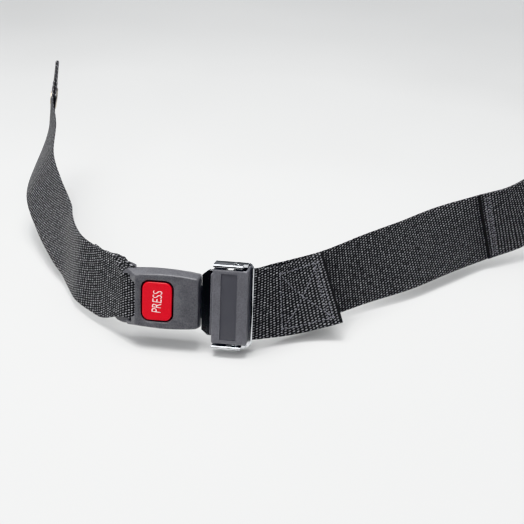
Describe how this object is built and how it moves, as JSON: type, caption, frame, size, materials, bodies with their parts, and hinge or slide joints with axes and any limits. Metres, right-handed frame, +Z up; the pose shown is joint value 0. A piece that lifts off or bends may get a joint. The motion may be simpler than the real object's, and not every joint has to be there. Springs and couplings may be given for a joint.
{
  "type": "wheelchair lap belt",
  "caption": "Lap belt of black webbing with a push-button buckle, a tongue that is also the strap's length adjuster, and a grommeted tab at either end for an anchor screw.",
  "frame": {"origin": "centre of the left anchor tab's screw hole", "axes": "+X runs from the left anchor to the right anchor, which is also the way the tongue pulls out of the buckle; +Y points to the back of the seat; +Z is up"},
  "size_m": [0.492, 0.2742, 0.1102],
  "materials": {
    "webbing": "woven webbing, slight sheen",
    "thread": "bonded thread",
    "cover_plastic": "fine moulded texture, black",
    "button_plastic": "smooth red, satin gloss",
    "ejector_plastic": "natural acetal",
    "chrome_steel": "polished chrome plate",
    "zinc_steel": "bright zinc plate",
    "spring_steel": "bare spring wire",
    "nickel_plate": "nickel plate"
  },
  "bodies": {
    "buckle_side": {"left_strap": "webbing", "left_anchor_tab": "webbing", "left_grommet": "nickel_plate", "left_grommet_washer": "nickel_plate", "left_tab_stitching": "thread", "buckle_front_cover": "cover_plastic", "buckle_rear_cover": "cover_plastic", "cover_screws": "zinc_steel", "buckle_frame": "zinc_steel", "webbing_bar": "zinc_steel", "latch_pin": "zinc_steel", "latch_spring": "spring_steel", "ejector_springs": "spring_steel", "button_spring": "spring_steel"},
    "button": {"push_button": "button_plastic"},
    "latch": {"latch_plate": "zinc_steel"},
    "ejector_slide": {"ejector": "ejector_plastic"},
    "tongue": {"tongue_plate": "chrome_steel", "adjuster_cover": "cover_plastic", "adjuster_rivets": "chrome_steel"},
    "strap_lock": {"lock_bar": "chrome_steel"},
    "right_side": {"right_strap": "webbing", "right_fold_back": "webbing", "right_anchor_tab": "webbing", "right_grommet": "nickel_plate", "right_grommet_washer": "nickel_plate", "right_tab_stitching": "thread"}
  },
  "joints": [
    {"name": "button_press", "type": "slide", "parent": "buckle_side", "child": "button", "axis": [0, 0.9781, -0.2079], "range_m": [0, 0.003], "stiffness_N_per_m": 400, "springref_m": -0.002, "deforming": ["button_spring"]},
    {"name": "latch_swing", "type": "hinge", "parent": "buckle_side", "child": "latch", "pos_m": [0.165, -0.22948, -0.05175], "axis": [0, -0.2079, -0.9781], "range_deg": [0, 8.7], "deforming": ["latch_spring"]},
    {"name": "ejector_push", "type": "slide", "parent": "buckle_side", "child": "ejector_slide", "axis": [1, 0, 0], "range_m": [0, 0.006], "stiffness_N_per_m": 150, "springref_m": 0.01, "deforming": ["ejector_springs"]},
    {"name": "tongue_pull", "type": "slide", "parent": "ejector_slide", "child": "tongue", "axis": [1, 0, 0], "range_m": [0, 0.052]},
    {"name": "lock_bar_slide", "type": "slide", "parent": "tongue", "child": "strap_lock", "axis": [1, 0, 0], "range_m": [-0.0025, 0]},
    {"name": "strap_tilt", "type": "hinge", "parent": "strap_lock", "child": "right_side", "pos_m": [0.198, -0.23691, -0.05017], "axis": [0, 0.2079, 0.9781], "range_deg": [0, 35]}
  ],
  "couplings": [
    {"joint": "latch_swing", "follows": "button_press", "rad_per_m": 49.5}
  ]
}
